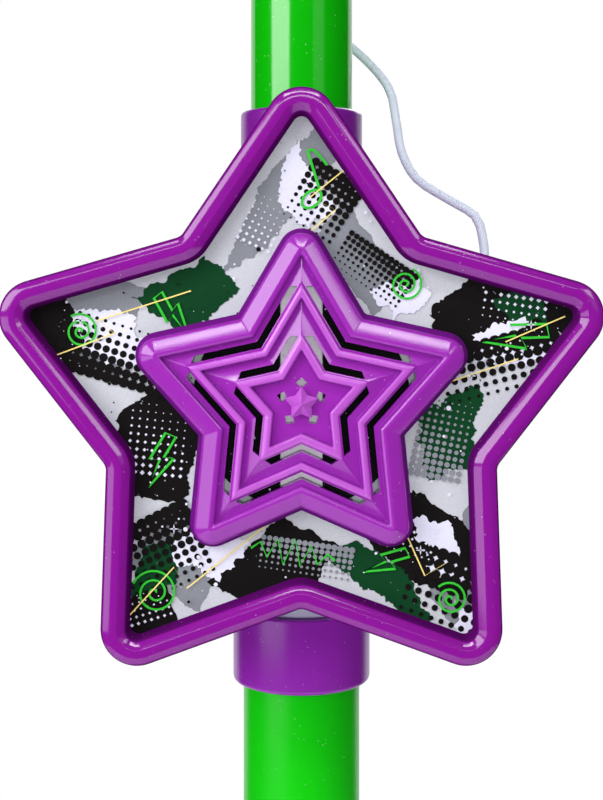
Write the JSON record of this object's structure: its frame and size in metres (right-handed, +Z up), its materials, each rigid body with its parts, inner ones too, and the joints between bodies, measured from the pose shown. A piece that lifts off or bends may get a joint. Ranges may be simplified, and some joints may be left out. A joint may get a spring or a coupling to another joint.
{
  "type": "toy microphone on stand",
  "caption": "Toy microphone in a tilting clip on a telescoping floor stand, with a star-shaped loudspeaker on the pole and a lead wound round the upper tube.",
  "frame": {"origin": "centre of the round base on the floor, on the pole's axis", "axes": "+Z up along the pole, the star faces -Y, +X to the right of someone who looks at the star"},
  "size_m": [0.236, 0.236, 0.7297],
  "materials": {
    "purple_plastic": "glossy moulded purple plastic",
    "lilac_plastic": "glossy pearly lilac plastic",
    "green_plastic": "glossy bright green plastic",
    "white_plastic": "glossy white plastic",
    "black_plastic": "matt black plastic",
    "black_rubber": "matt black rubber",
    "printed_card": "printed card",
    "black_cloth": "open black cloth",
    "cone_paper": "black paper cone",
    "steel": "plated steel",
    "iron": "dark iron",
    "circuit_board": "green circuit board",
    "cell_wrap": "plain grey cell wrap",
    "ball_mesh": "silver wire mesh",
    "foam": "dark foam"
  },
  "bodies": {
    "stand": {"base_shell": "purple_plastic", "base_plate": "black_plastic", "base_weight": "iron", "base_foot_1": "black_rubber", "base_foot_2": "black_rubber", "base_foot_3": "black_rubber", "base_foot_4": "black_rubber", "base_foot_5": "black_rubber", "lower_tube": "green_plastic", "lower_collar": "purple_plastic", "friction_bush": "black_plastic"},
    "mast": {"core_tube": "white_plastic", "core_foot": "black_plastic", "upper_collar": "purple_plastic", "upper_tube": "green_plastic", "star_bezel": "purple_plastic", "art_card": "printed_card", "grille": "lilac_plastic", "rear_shell": "purple_plastic", "pole_clamp": "purple_plastic", "speaker_cloth": "black_cloth", "speaker_basket": "steel", "speaker_cone": "cone_paper", "speaker_magnet": "iron", "jack_socket": "steel", "terminal_board": "circuit_board", "lead_plug": "white_plastic", "lead": "white_plastic", "top_bracket": "purple_plastic", "tilt_pin": "steel"},
    "knob": {"tilt_knob": "green_plastic"},
    "clip": {"mic_clip": "purple_plastic", "mic_handle": "purple_plastic", "cell_tray": "black_plastic", "cell_1": "cell_wrap", "cell_2": "cell_wrap", "cell_contact": "steel", "cell_spring": "steel", "mic_board": "circuit_board", "mic_boot": "white_plastic", "mic_ring": "green_plastic", "mic_ball": "ball_mesh", "mic_band": "green_plastic", "mic_capsule": "steel", "mic_foam": "foam"},
    "door": {"mic_door": "purple_plastic"},
    "slider": {"mic_switch": "green_plastic"}
  },
  "joints": [
    {"name": "height_slide", "type": "slide", "parent": "stand", "child": "mast", "axis": [0, 0, 1], "range_m": [0, 0.2]},
    {"name": "clip_tilt", "type": "hinge", "parent": "mast", "child": "clip", "pos_m": [0, 0, 0.628], "axis": [1, 0, 0], "range_deg": [-25, 40], "deforming": ["lead"]},
    {"name": "knob_turn", "type": "hinge", "parent": "mast", "child": "knob", "pos_m": [0, 0, 0.628], "axis": [1, 0, 0], "continuous": true},
    {"name": "switch_slide", "type": "slide", "parent": "clip", "child": "slider", "axis": [0, -0.766, 0.6428], "range_m": [0, 0.004]},
    {"name": "door_lift", "type": "slide", "parent": "clip", "child": "door", "axis": [0, 0.6428, 0.766], "range_m": [0, 0.02]}
  ]
}
